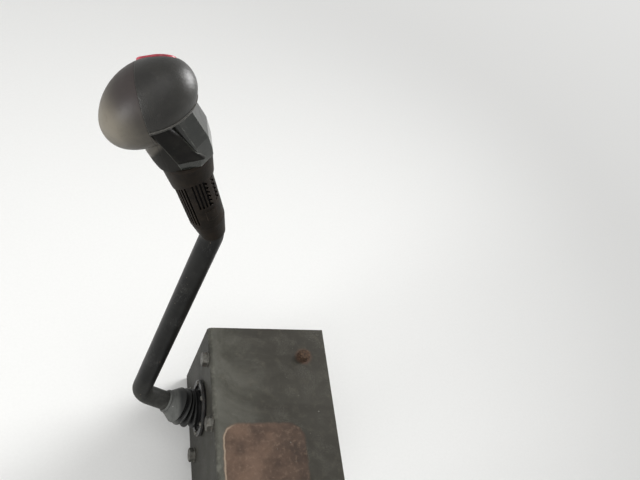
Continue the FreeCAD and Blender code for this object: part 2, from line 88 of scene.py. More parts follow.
# %% Camera
LENS_PIXELS, PICTURE_WIDTH, SENSOR = 793, 640, 36
EYE = Vector((-0.2243, -0.4076, 1.0239))
TO_THE_RIGHT = Vector((0.9405, -0.1358, 0.3116))
DOWNWARDS = Vector((0.0598, -0.8363, -0.5450))
FORWARDS = Vector((0.3346, 0.5312, -0.7784))


def new_object(name, data):
    made = bpy.data.objects.new(name, data)
    scene.collection.objects.link(made)
    return made


camera_data = bpy.data.cameras.new("photograph_camera")
camera_data.sensor_width = SENSOR
camera_data.lens = LENS_PIXELS / PICTURE_WIDTH * SENSOR
camera_data.clip_start = 0.01
camera = new_object("photograph_camera", camera_data)
place = Matrix((TO_THE_RIGHT, -DOWNWARDS, -FORWARDS)).transposed().to_4x4()
place.translation = EYE
camera.matrix_world = place
scene.camera = camera
print("lens", round(camera_data.lens, 1), "mm")

# %% [markdown]
# ## Sums with shader sockets
# A worn surface is a stack of masks: noise, thresholds, distances. Written out as nodes and links
# they are hard to read, so a small class wraps a socket and turns +, -, *, / and ** into Math
# nodes. The reflected forms make `1 - mask` work too.

# %% Values that vary over a surface
def through(operation, reflected=False):
    """A method that sends a Value and other terms through one Math node."""
    def method(self, *others):
        terms = (*others, self) if reflected else (self, *others)
        return maths(self.tree, operation, *terms)
    return method


class Value:
    """A node's output that can be used in a sum."""

    def __init__(self, tree, socket):
        self.tree = tree
        self.socket = socket

    __add__ = __radd__ = through("ADD")
    __mul__ = __rmul__ = through("MULTIPLY")
    __sub__, __rsub__ = through("SUBTRACT"), through("SUBTRACT", reflected=True)
    __truediv__, __pow__ = through("DIVIDE"), through("POWER")
    least, most, size = through("MINIMUM"), through("MAXIMUM"), through("ABSOLUTE")

    def clamped(self):
        return maths(self.tree, "ADD", self, 0.0, clamp=True)

    def step(self, low, high):
        """0 below low, 1 above high and a soft step between. Both ends may be Values too."""
        return make_node(self.tree, "ShaderNodeMapRange", {0: self, "From Min": low, "From Max": high},
                         "Result", interpolation_type="SMOOTHSTEP")

    def rise(self, low, high):
        """A soft step between two numbers, which falls if high is the smaller one."""
        return self.step(low, high) if low < high else 1 - self.step(high, low)

    def past(self, edge, blur):
        """0 before an edge and 1 after it, blurred by this much on both sides."""
        return self.step(edge - blur, edge + blur)


def put(tree, term, socket):
    """Puts a number, a colour or another node's output into a socket."""
    if isinstance(term, Value):
        tree.links.new(term.socket, socket)
    else:
        socket.default_value = term


def maths(tree, operation, *terms, clamp=False):
    return make_node(tree, "ShaderNodeMath", dict(enumerate(terms)), operation=operation, use_clamp=clamp)


def make_node(tree, kind, inputs=None, out=0, **settings):
    """A node of a kind: its settings first, then its sockets. Gives one of its outputs."""
    node = tree.nodes.new(kind)
    for name, setting in settings.items():
        setattr(node, name, setting)
    for name, term in (inputs or {}).items():
        put(tree, term, node.inputs[name])
    return Value(tree, node.outputs[out]) if len(node.outputs) else None


print("a mask is a Value; 1 - mask is one too")

# %% [markdown]
# ## One class for all finishes
# Each finish starts with the place of the point in the object's own coordinates, makes patterns
# from it, lays colours over one another and ends in one surface shader. Noise and cells are asked
# for by their size in metres, and colours are written as they look on a screen, 0 to 255.

# %% The Finish class
def tone(*levels):
    """A colour as seen on a screen, as the light values that a shader wants."""
    shares = [level / 255 for level in levels]
    return (*(s / 12.92 if s < 0.04045 else ((s + 0.055) / 1.055) ** 2.4 for s in shares), 1.0)


class Finish:
    """A material under construction: masks and layers of colour, then the surface."""

    def __init__(self, name):
        self.material = bpy.data.materials.new(name)
        self.material.use_nodes = True
        self.tree = self.material.node_tree
        self.tree.nodes.clear()
        self.place = self.node("TexCoord", out="Object")
        self.x, self.y, self.z = (self.node("SeparateXYZ", {0: self.place}, axis) for axis in range(3))
        self.colour = None

    def node(self, kind, inputs=None, out=0, **settings):
        return make_node(self.tree, "ShaderNode" + kind, inputs, out, **settings)

    def turned(self, turn=(0, 0, 0), stretch=(1, 1, 1)):
        """The place, turned and stretched, for grain that runs one way."""
        return self.node("Mapping", {"Vector": self.place, "Rotation": turn, "Scale": stretch})

    def noise(self, size, detail=3.0, rough=0.55, at=None, warp=0.0):
        """Cloudy noise from 0 to 1 whose blotches are about this size."""
        inputs = {"Vector": at or self.place, "Scale": 1 / size, "Detail": detail, "Roughness": rough,
                  "Distortion": warp}
        return self.node("TexNoise", inputs, "Fac")

    def cells(self, size, out="Distance", feature="F1"):
        inputs = {"Vector": self.place, "Scale": 1 / size}
        return self.node("TexVoronoi", inputs, out, feature=feature)

    def specks(self, size, share, reach):
        """Round specks, one in a share of the cells of this size."""
        luck = self.node("SeparateColor", {0: self.cells(size, "Color")})
        return self.cells(size).rise(reach, reach * 0.6) * luck.rise(1 - share, 1 - share * 0.8)

    def scratches(self, size, length, turn, share=0.08):
        """Fine lines along one direction: noise that is stretched, cut to a narrow band."""
        at = self.turned(turn, (1, 1, size / length))
        line = (self.noise(size, 2.0, 0.5, at) - 0.5).size().rise(share * 0.25, 0.0)
        return line * self.noise(length, 1.0).rise(0.5, 0.62)

    def wear(self, size, low, high):
        """Ragged patches, as hands rub them."""
        return self.noise(size, 6.0, 0.68).rise(low, high)

    def vectors(self, operation, first, second, out="Value"):
        return self.node("VectorMath", {0: first, 1: second}, out, operation=operation)

    def away(self, point):
        """The distance of the surface from a point."""
        return self.vectors("DISTANCE", self.place, tuple(point))

    def reach(self, start, heading):
        """How far the surface lies beyond a place, along a direction."""
        return self.vectors("DOT_PRODUCT", self.place, tuple(heading)) - start.dot(heading)

    def off_line(self, point, heading):
        """The distance of the surface from a line."""
        arm = self.vectors("SUBTRACT", self.place, tuple(point), "Vector")
        across = self.vectors("CROSS_PRODUCT", arm, tuple(heading), "Vector")
        return self.vectors("LENGTH", across, (0, 0, 0))

    def soft_edge(self, radius):
        """A normal that rounds sharp edges, as paint and moulding do."""
        return self.node("Bevel", {"Radius": radius}, "Normal", samples=4)

    def edges(self, radius, low=0.02, high=0.12):
        """A mask of sharp edges: there the rounded normal leaves the plain one."""
        plain = self.node("NewGeometry", out="Normal")
        return (1 - self.vectors("DOT_PRODUCT", self.soft_edge(radius), plain)).rise(low, high)

    def mixed(self, first, second, share):
        """One colour over another by a mask."""
        return self.node("Mix", {0: share, 6: first, 7: second}, 2, data_type="RGBA")

    def base(self, first, second, share):
        """The lowest layer: one tone with another in it."""
        self.colour = self.mixed(tone(*first), tone(*second), share)

    def coat(self, tint, share):
        """A further layer: a tone, or a colour made before, where its mask is above 0."""
        over = tint if isinstance(tint, Value) else tone(*tint)
        self.colour = self.mixed(self.colour, over, share)

    def surface(self, roughness, height, depth, edge=0.0, metallic=0.0, shine=0.5, glow=None):
        """The shader over the layers: a bump of this depth, and edges rounded by this radius."""
        bump = {"Height": height, "Distance": depth}
        if edge:
            bump["Normal"] = self.soft_edge(edge)
        inputs = {"Base Color": self.colour, "Normal": self.node("Bump", bump),
                  "Specular IOR Level": shine}
        for name, share in (("Roughness", roughness), ("Metallic", metallic)):
            inputs[name] = share.clamped() if isinstance(share, Value) else share
        if glow:
            inputs.update({"Emission Color": glow, "Emission Strength": 1.0})
        self.node("OutputMaterial", {"Surface": self.node("BsdfPrincipled", inputs)})
        return self.material


print("grey 128 is", round(tone(128, 128, 128)[0], 3), "of white")

# %% [markdown]
# ## How shiny, and on what
# The shader's specular level says how much a surface mirrors when seen straight on: 0.5 is common
# plastic and paint. Dusty and rubbed ones mirror less, by one of the steps below. The solids came
# with plain materials, and `dress` puts a better one in their place.

# %% Shine and dressing
FAINT, LOW, DULL, SOFT, GLOSS = 0.06, 0.12, 0.20, 0.34, 0.44


def paint(mesh, material):
    mesh.materials.clear()
    mesh.materials.append(material)


def dress(material, *names):
    """Gives carried-over solids a better material."""
    for name in names:
        paint(nodes[name].data, material)
    print(material.name, "on", ", ".join(names))


print("specular levels from", FAINT, "to", GLOSS)

# %% [markdown]
# ## The grip's own frame
# The grip leans forwards and a little outwards from the tube's upper bend. Patterns on it, such as
# the pale patch of palm polish and painted sheen, are easier to place in its own directions: front,
# left and up. The matrix below is worked out from the lean, as the solid's was.

# %% Grip frame
UPPER_BEND = Vector((-0.050, 0.061, 0.339))
GRIP_LEAN, GRIP_OUT = math.radians(24.4), math.radians(5.0)
HEAD_MIDDLE = Vector((0.014, 0, 0.1925))

grip_up = Vector((-math.tan(GRIP_LEAN), math.tan(GRIP_OUT), 1)).normalized()
grip_left = grip_up.cross(-X).normalized()
grip_front = grip_left.cross(grip_up)
grip_frame = Matrix((grip_front, grip_left, grip_up)).transposed().to_4x4()
grip_frame.translation = UPPER_BEND
head_middle = grip_frame @ HEAD_MIDDLE
print("middle of the head", [round(v, 3) for v in head_middle])

# %% [markdown]
# ## Deck and riser paint
# The riser and the deck strip are one folded sheet with grey-olive machine paint. Years of boots
# have rubbed the front edge pale, left dark smears and white specks, and worn one rounded patch
# down to rust. The patch's outline is the distance from a rounded box seen from above, and the
# smears are noise that is stretched across the deck. Painted shade darkens the riser's front face,
# more towards the bottom, and a painted shadow of the seat darkens the inner deck, over trodden
# dirt, and the rear side of the rust patch.

# %% Deck paint
DECK_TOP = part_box("riser_panel")[1].z
RUST_MIDDLE, RUST_HALF, RUST_CORNER = (0.064, -0.118), (0.054, 0.067), 0.022
DECK_BOLT = Vector((0.132, 0.045, DECK_TOP))
FOLD_RADIUS = 0.006
FOLD_MIDDLE = FOLD_RADIUS * (2 - math.sqrt(2))
LENGTHWISE = math.pi / 2


def rounded_patch(f, ragged):
    """Below 0 inside the rust's box with round corners, seen from above, with a ragged outline."""
    across = (f.x - RUST_MIDDLE[0]).size() - (RUST_HALF[0] - RUST_CORNER)
    along = (f.y - RUST_MIDDLE[1]).size() - (RUST_HALF[1] - RUST_CORNER)
    outside = (across.most(0.0) ** 2 + along.most(0.0) ** 2) ** 0.5
    return outside + across.most(along).least(0.0) - RUST_CORNER + ragged


def rust_colour(f):
    f.base((102, 82, 69), (68, 54, 46), f.noise(0.034, 6.0, 0.62).rise(0.34, 0.72))
    # Painted shadow of the seat: the rust darkens towards its rear side (+X).
    f.coat((50, 42, 37), (f.x + f.noise(0.030, 5.0) * 0.020).rise(0.060, 0.125) * 0.6)
    f.coat((126, 106, 90), f.noise(0.0055, 5.0, 0.7).rise(0.50, 0.70) * 0.4)
    return f.colour


def rubbed_edges(f, on_top):
    """Pale paint where boots rub: the front of the deck, the fold, sharp edges and scratches."""
    front = (f.x + f.noise(0.018, 5.0) * 0.012).rise(0.026, 0.006) * on_top
    f.coat((88, 88, 81), front * 0.5)
    fold = (f.x + DECK_TOP - f.z - FOLD_MIDDLE).size().rise(0.0030, 0.0008)
    f.coat((112, 111, 102), fold * f.noise(0.016, 6.0, 0.7).rise(0.44, 0.68) * 0.55)
    f.coat((120, 112, 98), f.edges(0.0012) * 0.55)
    lines = (f.scratches(0.0012, 0.050, (0, LENGTHWISE, 0.5))
             + f.scratches(0.0009, 0.030, (0, LENGTHWISE, 1.1)))
    f.coat((132, 130, 120), (lines * on_top * 0.45).clamped())


def deck_paint():
    f = Finish("deck_paint")
    brown = rust_colour(f)
    on_top = f.z.rise(DECK_TOP - 0.004, DECK_TOP - 0.001)
    blotches = f.noise(0.055, 6.0, 0.62, warp=0.5)
    smears = f.noise(0.080, 5.0, 0.62, f.turned((0, 0, 0.35), (0.45, 1.6, 1)), 0.8)
    dark = smears.rise(0.44, 0.66) * f.x.rise(0.012, 0.070)
    f.base((78, 77, 70), (56, 55, 48), blotches.rise(0.35, 0.65))
    f.coat((46, 44, 39), dark * 0.85)
    # Painted shadow of the seat over the inner deck, together with trodden dirt.
    trodden_dirt_and_seat_shade = (f.x + f.noise(0.040, 5.0, 0.6) * 0.060).rise(0.050, 0.115) * on_top
    f.coat((42, 39, 32), trodden_dirt_and_seat_shade * 0.8)
    # Painted shade on the riser's front face, deeper towards the bottom.
    low_down = (f.z + f.noise(0.050, 5.0) * 0.06).rise(0.060, -0.060)
    f.coat((32, 31, 27), f.x.rise(0.0045, 0.0015) * (0.70 + low_down * 0.25))
    dust = f.noise(0.010, 6.0, 0.70).rise(0.48, 0.72)
    f.coat((100, 96, 84), dust * 0.18)
    rubbed_edges(f, on_top)

    patch = rounded_patch(f, (f.noise(0.014, 5.0) - 0.5) * 0.005)
    rust = patch.rise(0.0030, -0.0020) * on_top
    f.coat(brown, rust * 0.92)
    halo = (f.away(DECK_BOLT) + f.noise(0.006, 5.0) * 0.006).rise(0.018, 0.010)
    f.coat((78, 56, 42), halo * 0.75)
    rim = (patch + 0.0005).size().rise(0.0016, 0.0003) * on_top * f.x.rise(0.030, 0.012)
    f.coat((150, 134, 116), rim * 0.75)
    flecks = f.noise(0.0045, 4.0, 0.7).rise(0.69, 0.75) * (1 - rust)
    f.coat((84, 58, 43), flecks * 0.75)
    white = (f.specks(0.0110, 0.09, 0.055) + f.specks(0.0047, 0.05, 0.070)).clamped()
    f.coat((176, 174, 164), white * 0.85)

    roughness = 0.50 + blotches * 0.16 + rust * 0.24 - dark * 0.06 + dust * 0.12
    height = f.noise(0.0016) * 0.3 + f.noise(0.0006, 2.0) * 0.25 - rust * 0.9 - flecks * 0.5
    return f.surface(roughness, height, 0.00028, 0.0012, shine=DULL)


dress(deck_paint(), "riser_panel")

# %% [markdown]
# ## Black paint, cast iron, zinc and rubber of the pivot
# Behind the riser the cheeks and arms are painted black with chipped edges, the cradle is rough
# cast iron with a bloom of rust, shaft, studs, washer and nut are zinc plated, and the bushes are
# plain rubber. Each gets its own grain, because the lever is looked at from every side.

# %% Black paint and rubber
def chassis_paint(name, dust):
    """Black paint with chips, fine orange peel and dust."""
    f = Finish(name)
    f.base((44, 44, 43), (33, 33, 33), f.noise(0.020, 4.0).rise(0.4, 0.6))
    chips = f.noise(0.0055, 4.0, 0.65).rise(0.685, 0.70)
    chips = chips.most(f.edges(0.0008) * f.noise(0.004, 4.0, 0.65).rise(0.50, 0.58))
    f.coat((112, 92, 76), chips)
    powder = f.noise(0.012, 5.0, 0.65).rise(0.40, 0.75) * dust
    f.coat((112, 106, 96), powder)
    height = f.noise(0.0011, 2.0) * 0.4 - chips
    return f.surface(0.40 + powder * 0.35 + chips * 0.30, height, 0.00015, 0.0006)


def plain_rubber():
    f = Finish("bush_rubber")
    powder = f.noise(0.009, 5.0, 0.6).rise(0.40, 0.75) * 0.30
    f.base((38, 37, 36), (96, 92, 84), powder)
    return f.surface(0.66 + powder * 0.2, f.noise(0.0007) * 0.5, 0.0001, 0.0006)


dress(chassis_paint("bracket_paint", 0.25), "bearing_cheek_left", "bearing_cheek_right",
      "drive_arm", "valve_arm")
dress(chassis_paint("ring_paint", 0.12), "bellows_ring")
dress(plain_rubber(), "torsion_bush_left", "torsion_bush_right", "roll_torsion_bush_front",
      "roll_torsion_bush_rear")

# %% Cast iron and zinc
def cast_iron():
    f = Finish("cradle_iron")
    bloom = f.noise(0.016, 5.0, 0.65, warp=0.5).rise(0.52, 0.72)
    f.base((84, 82, 79), (62, 60, 58), f.noise(0.006, 4.0).rise(0.35, 0.65))
    f.coat((112, 78, 54), bloom * 0.75)
    sand = f.cells(0.0013) * 0.5 + f.noise(0.0007) * 0.6
    return f.surface(0.56 + bloom * 0.3, sand, 0.00030, 0.0012, metallic=0.55 - bloom * 0.5)


def zinc_plate():
    f = Finish("zinc_steel")
    dull = f.noise(0.010, 4.0, 0.6).rise(0.35, 0.70)
    f.base((196, 194, 182), (150, 144, 126), dull)
    spots = f.noise(0.0026, 4.0, 0.7).rise(0.70, 0.74)
    f.coat((104, 72, 50), spots * 0.8)
    lathe = f.noise(0.0005, 2.0, 0.5, f.turned(stretch=(1, 0.08, 0.08)))
    return f.surface(0.26 + dull * 0.20 + spots * 0.35, lathe, 0.00003, 0.0005,
                     metallic=0.95 - spots * 0.8)


zinc = zinc_plate()
dress(cast_iron(), "cradle")
dress(zinc, "drive_ball_stud", "valve_ball_stud", "roll_shaft", "shaft_washer", "shaft_nut")

# %% [markdown]
# ## The painted tube
# The arm is a bent steel tube in satin black. Hands and boots leave long fine scratches and small
# chips. Dust lies on it everywhere, and most of all on the low elbow, which looks grey with it.

# %% Tube paint
ELBOW_TOP, ELBOW_BOTTOM = 0.090, 0.020


def tube_paint():
    f = Finish("tube_paint")
    f.base((25, 25, 24), (18, 18, 18), f.noise(0.030, 4.0).rise(0.4, 0.6))
    low = (f.z + f.noise(0.030) * 0.030).rise(ELBOW_TOP, ELBOW_BOTTOM)
    powder = low * (0.50 + f.noise(0.006, 5.0, 0.65).rise(0.35, 0.75) * 0.45)
    powder = powder + f.wear(0.022, 0.50, 0.80) * 0.16
    f.coat((72, 72, 68), powder.clamped())
    lines = (f.scratches(0.0010, 0.060, (0.1, -0.1, 0.0))
             + f.scratches(0.0014, 0.030, (0.7, 0.3, 0.0), 0.05))
    f.coat((98, 97, 94), (lines * 0.5).clamped())
    chips = f.noise(0.0050, 4.0, 0.65).rise(0.705, 0.72)
    f.coat((112, 100, 88), chips)
    f.coat((150, 148, 140), f.specks(0.007, 0.10, 0.06))
    height = f.noise(0.0014, 2.0) * 0.35 - chips - lines * 0.2
    roughness = 0.36 + powder * 0.35 + chips * 0.2 + lines * 0.1
    return f.surface(roughness, height, 0.00012, 0.0006, shine=LOW)


dress(tube_paint(), "lever_tube")

# %% [markdown]
# ## The head's two shells
# Two shells close the egg-shaped head. The front one is smooth and warm grey, with a pale patch
# that is the palm's polish and a painted sheen as well. The rear one is darker, with a fine pebbled
# grain from its mould that sparkles where light grazes it, and a painted highlight along its edges.
# Grain and the gap between the shells are bump, because they are too fine for a mesh.
# The front shell runs on down the neck, where it is nearly black. Head and neck are told apart by
# the distance from the egg's own axis.

# %% Shells of the head
PALM_POLISH_AND_SHEEN = grip_frame @ (HEAD_MIDDLE + Vector((0.036, 0.018, 0.004)))
SEAM_TOP = grip_frame @ (HEAD_MIDDLE + Vector((0.004, 0.012, 0.034)))
HEAD_TILT, HEAD_RADIUS, SEAM = math.radians(34), 0.0355, 0.0145
head_axis = grip_front * math.cos(HEAD_TILT) - grip_up * math.sin(HEAD_TILT)


def seam_line(f):
    """The narrow gap where the two shells meet."""
    return (f.reach(UPPER_BEND, grip_front) - SEAM).size().rise(0.00045, 0.00015)


def smooth_shell():
    f = Finish("grip_front")
    drift = f.noise(0.030, 5.0, 0.6) * 0.016
    # Palm polish and a painted sheen: a pale patch on the front shell.
    worn = (f.away(PALM_POLISH_AND_SHEEN) + drift).rise(0.046, 0.014)
    shaded = (f.away(SEAM_TOP) + drift).rise(0.052, 0.020)
    off_axis = f.off_line(head_middle, head_axis)
    neck, seam = off_axis.rise(HEAD_RADIUS - 0.001, HEAD_RADIUS + 0.004), seam_line(f)
    cloud = f.noise(0.020, 5.0, 0.6)
    f.base((62, 59, 54), (76, 72, 65), cloud.rise(0.35, 0.70) * 0.7)
    f.coat((116, 110, 98), worn * 0.75)
    f.coat((52, 46, 46), shaded * 0.8)
    smudge = f.wear(0.007, 0.52, 0.75) * 0.3
    f.coat((42, 40, 38), smudge)
    f.coat((104, 100, 94), f.scratches(0.0008, 0.018, (0.5, 0.9, 0.2), 0.05) * 0.25)
    f.coat((24, 23, 21), neck * 0.95)
    f.coat((28, 26, 24), seam * 0.6)
    grain = f.noise(0.00045, 2.0) * 0.5 + f.cells(0.0009) * 0.3 - seam * 3
    roughness = 0.40 + cloud * 0.10 - worn * 0.05 + smudge * 0.3 + neck * 0.3
    return f.surface(roughness, grain, 0.00004, 0.0007, shine=DULL)


def pebbled_shell():
    f = Finish("grip_rear")
    cloud = f.noise(0.025, 5.0, 0.6)
    f.base((43, 42, 39), (34, 33, 31), cloud.rise(0.35, 0.65))
    worn = f.wear(0.006, 0.55, 0.78) * 0.3
    f.coat((76, 74, 70), worn)
    # Painted highlight: a pale line along the shell's sharp edges, where light catches the lip.
    f.coat((140, 138, 131), f.edges(0.0010) * 0.65)
    seam = seam_line(f)
    f.coat((28, 26, 24), seam * 0.6)
    pebbles = f.cells(0.0010, feature="SMOOTH_F1") + f.noise(0.0024, 2.0) * 0.45
    height = pebbles + f.noise(0.0005, 2.0) * 0.3 - seam * 2
    return f.surface(0.36 + cloud * 0.12 + worn * 0.2, height, 0.00020, 0.0007, shine=SOFT)


dress(smooth_shell(), "grip_front_shell")
dress(pebbled_shell(), "grip_rear_shell")

# %% [markdown]
# ## Neck, wings and switch
# The faceted core of the neck is moulded glossy and shows long soft reflections that waver a
# little, with a painted glint along its facets' edges. The wings beside it are dull and nearly
# black, with edges that hands have rubbed pale and a painted highlight on them as well, and the
# rocker is moulded from the same plastic. The switch plate is faded red.

# %% Neck, wings and switch
def glossy_neck():
    f = Finish("neck_gloss")
    f.base((34, 35, 32), (26, 28, 25), f.noise(0.018, 5.0).rise(0.35, 0.65))
    film = f.noise(0.010, 6.0, 0.65).rise(0.45, 0.80)
    f.coat((72, 73, 67), film * 0.3)
    # Painted glint: pale lines along the facets' edges, where light would catch them.
    f.coat((150, 152, 144), f.edges(0.0013) * f.noise(0.008, 5.0, 0.65).rise(0.35, 0.60) * 0.6)
    waves = f.noise(0.012, 2.0, 0.4) + f.noise(0.0010, 2.0) * 0.03
    return f.surface(0.16 + film * 0.10, waves, 0.00025, 0.0012, shine=GLOSS)


def wing_plastic():
    f = Finish("wing_plastic")
    f.base((26, 25, 23), (21, 20, 19), f.noise(0.012, 5.0).rise(0.4, 0.6))
    worn = f.wear(0.005, 0.54, 0.76) * 0.3
    f.coat((60, 63, 57), worn)
    # Rubbed wear and a painted highlight: the wings' edges are paler.
    f.coat((98, 100, 92), f.edges(0.0020) * 0.55)
    grain = f.cells(0.0009) * 0.4 + f.noise(0.0004, 2.0) * 0.4
    return f.surface(0.46 + worn * 0.5, grain, 0.00007, 0.0022, shine=FAINT)


def red_switch():
    f = Finish("switch_red")
    f.base((174, 66, 78), (146, 48, 60), f.noise(0.010, 5.0).rise(0.35, 0.65))
    rubbed = f.wear(0.0030, 0.50, 0.75)
    f.coat((196, 128, 132), rubbed * 0.4)
    return f.surface(0.30 + rubbed * 0.3, f.noise(0.0007), 0.00004, 0.0005, shine=SOFT)


wing_finish = wing_plastic()
dress(glossy_neck(), "grip_core")
dress(wing_finish, "palm_flange", "switch_rocker")
dress(red_switch(), "switch_plate")

# %% [markdown]
# ## The grooved sleeve
# Collar and sleeve are soft brown-black rubber. The grooves are cut into the solid, and their
# bottoms are painted near black as shade, while the ribs between them are rubbed, with a painted
# highlight on their edges too. The sleeve's plain form is two straight slopes round the grip's
# axis, so how far the surface lies under them, in a groove, is a short sum.

# %% Sleeve rubber
# For each slope: its height above the upper bend, the radius there, and its rise.
SLEEVE_SLOPES = ((0.003, 0.0137, 0.1815), (0.030, 0.0186, 0.0263))


def groove_depth(f):
    """How deep the surface lies under the sleeve's plain form."""
    height = f.reach(UPPER_BEND, grip_up)
    lower, upper = (radius + (height - start) * slope for start, radius, slope in SLEEVE_SLOPES)
    return lower.least(upper) - f.off_line(UPPER_BEND, grip_up)


def grip_rubber():
    f = Finish("sleeve_rubber")
    grooves = groove_depth(f).rise(0.0002, 0.0009)
    f.base((30, 25, 20), (21, 18, 15), f.noise(0.012, 5.0).rise(0.35, 0.65))
    rubbed = f.wear(0.0035, 0.48, 0.76) * 0.45 * (1 - grooves)
    f.coat((54, 48, 42), rubbed)
    # Rubbed wear and a painted highlight: the ribs' edges are paler.
    f.coat((78, 68, 58), f.edges(0.0006) * (1 - grooves) * 0.45)
    # Painted shade: the grooves' bottoms are near black.
    f.coat((5, 4, 4), grooves)
    return f.surface(0.50 + rubbed * 0.5, f.noise(0.0006), 0.00010, 0.0006, shine=FAINT)


dress(grip_rubber(), "grip_sleeve", "grip_collar")

# %% [markdown]
# ## Geometry Nodes, one class for the trees
# What repeats or follows a path is grown by a small node tree with named sizes: the boot's folds,
# bolts, screws, weld beads and the thread. Each tree ends by making its copies real and giving
# them their material. The result is read back as a plain mesh, so no modifier is left on a piece.

# %% The Recipe class
class Recipe:
    """A Geometry Nodes tree with named inputs."""

    def __init__(self, name, inputs):
        self.tree = bpy.data.node_groups.new(name, "GeometryNodeTree")
        face = self.tree.interface
        self.inputs = {}
        for label, kind in inputs.items():
            made = face.new_socket(label, in_out="INPUT", socket_type="NodeSocket" + kind)
            self.inputs[label] = made.identifier
        face.new_socket("Geometry", in_out="OUTPUT", socket_type="NodeSocketGeometry")
        self.start = self.tree.nodes.new("NodeGroupInput")
        print("recipe", name, "with", len(inputs), "inputs")

    def __getitem__(self, label):
        return Value(self.tree, self.start.outputs[label])

    def node(self, kind, inputs=None, out=0, **settings):
        return make_node(self.tree, "GeometryNode" + kind, inputs, out, **settings)

    def vector(self, x=0.0, y=0.0, z=0.0):
        return make_node(self.tree, "ShaderNodeCombineXYZ", {"X": x, "Y": y, "Z": z})

    def chance(self):
        """A random number from 0 to 1 for each point, from the recipe's seed."""
        return make_node(self.tree, "FunctionNodeRandomValue", {"Seed": self["Seed"]}, 1, data_type="FLOAT")

    def instances(self, points, piece, rotation=(0, 0, 0), scale=(1, 1, 1)):
        return self.node("InstanceOnPoints", {"Points": points, "Instance": piece, "Rotation": rotation,
                                              "Scale": scale})

    def finish(self, geometry):
        real = self.node("RealizeInstances", {0: geometry})
        painted = self.node("SetMaterial", {"Geometry": real, "Material": self["Material"]})
        make_node(self.tree, "NodeGroupOutput", {0: painted})


# %% From trees to plain pieces
MERGE = 0.000002


def mesh_of(name, points, edges=(), faces=()):
    data = bpy.data.meshes.new(name)
    data.from_pydata(points, edges, faces)
    return data


def plain_mesh(host):
    """What an object's modifiers make, as a plain mesh."""
    seen = host.evaluated_get(bpy.context.evaluated_depsgraph_get())
    return bpy.data.meshes.new_from_object(seen)


def made_plain(piece):
    """Puts the result of its modifiers in a piece's place and takes them off."""
    mesh = plain_mesh(piece)
    piece.modifiers.clear()
    piece.data = mesh
    return piece


def grown(name, recipe, values, host_data):
    """Runs a recipe with these inputs and gives the result as a plain mesh object."""
    host = new_object(name + "_host", host_data)
    modifier = host.modifiers.new(name, "NODES")
    modifier.node_group = recipe.tree
    for label, value in values.items():
        modifier[recipe.inputs[label]] = value
    mesh = plain_mesh(host)
    bpy.data.objects.remove(host)
    return new_object(name, mesh)


def merged(mesh):
    """A mesh open for editing, with the corners that its faces share made one."""
    form = bmesh.new()
    form.from_mesh(mesh)
    bmesh.ops.remove_doubles(form, verts=form.verts, dist=MERGE)
    return form


def smooth(piece, angle):
    """Soft shading with sharp edges where the faces turn by more than the angle."""
    form = merged(piece.data)
    for face in form.faces:
        face.smooth = True
    for edge in form.edges:
        edge.smooth = edge.calc_face_angle(math.pi) < math.radians(angle)
    form.to_mesh(piece.data)
    form.free()
    return piece


def fit(piece, body):
    """Hands a finished piece to the body that it moves with."""
    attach(piece, body)
    print(piece.name, "faces", len(piece.data.polygons), "on", body)


print("corners closer than", MERGE, "are one")

# %% [markdown]
# ## The wings beside the neck
# A moulded wing stands out on each side of the grip's neck and carries the edge of the hand. The
# solid has its place and size with flat faces and crisp edges. The real one is as round as worn
# soap and a little hollow on its outer face. A bevel can't round edges that meet this sharply, so
# a copy of the solid gets an even skin of small squares, smoothed until the edges are round.

# %% Moulded wings
WING_VOXEL, WING_SMOOTHING, HOLLOW_DEPTH, HOLLOW_RADIUS = 0.0006, 26, 0.0022, 0.022


def skinned(name, node, voxel, rounds):
    """A copy of a solid with an even, smoothed skin."""
    piece = new_object(name, mesh_of(name, []))
    form = merged(nodes[node].data)
    form.to_mesh(piece.data)
    form.free()
    skin = piece.modifiers.new("skin", "REMESH")
    skin.mode, skin.voxel_size = "VOXEL", voxel
    soft = piece.modifiers.new("soft", "SMOOTH")
    soft.factor, soft.iterations = 0.5, rounds
    return made_plain(piece)


def hollowed(piece, depth, radius):
    """Presses the outer faces of both wings in, most at their middle."""
    to_grip = grip_frame.inverted()
    places = [to_grip @ vertex.co for vertex in piece.data.vertices]
    facing = [vertex.normal.dot(grip_left) for vertex in piece.data.vertices]
    middle = [(min(p[i] for p in places) + max(p[i] for p in places)) / 2 for i in (0, 2)]
    for vertex, point, face in zip(piece.data.vertices, places, facing):
        outwards = math.copysign(1, point.y)
        off = math.hypot(point.x - middle[0], point.z - middle[1])
        share = max(0.0, 1 - (off / radius) ** 2) ** 2
        vertex.co -= grip_left * (outwards * depth * max(0.0, face * outwards) * share)


wings = skinned("neck_wings", "palm_flange", WING_VOXEL, WING_SMOOTHING)
hollowed(wings, HOLLOW_DEPTH, HOLLOW_RADIUS)
paint(wings.data, wing_finish)
wings.data.shade_smooth()
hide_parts("palm_flange")
fit(wings, "lever")

# %% [markdown]
# ## The rubber boot
# A folded boot covers the shaft between the riser and the tube: a flat foot under the ring, four
# rounded folds, then a long smooth cone that grips the tube. It follows the shaft's own bend, so
# it is a circle swept along that path whose radius is a formula of the distance: a cosine for the
# folds, a straight fall for the cone. Its neck by the riser is wider, because the foot stays put
# while the shaft swings inside it. The mesh keeps where its crests are, because dust lies on them
# and on the cone, and the folds' bottoms stay black.

# %% Path of the shaft
SHAFT_CORNER = Vector((-0.020, 0, 0))
ELBOW_CORNER = Vector((-0.086, 0.012, 0.029))
SHAFT_BEND, HANDLE = 0.040, 0.002

first_way = SHAFT_CORNER.normalized()
second_way = (ELBOW_CORNER - SHAFT_CORNER).normalized()
shaft_turn = first_way.angle(second_way)
bend_reach = SHAFT_BEND * math.tan(shaft_turn / 2)


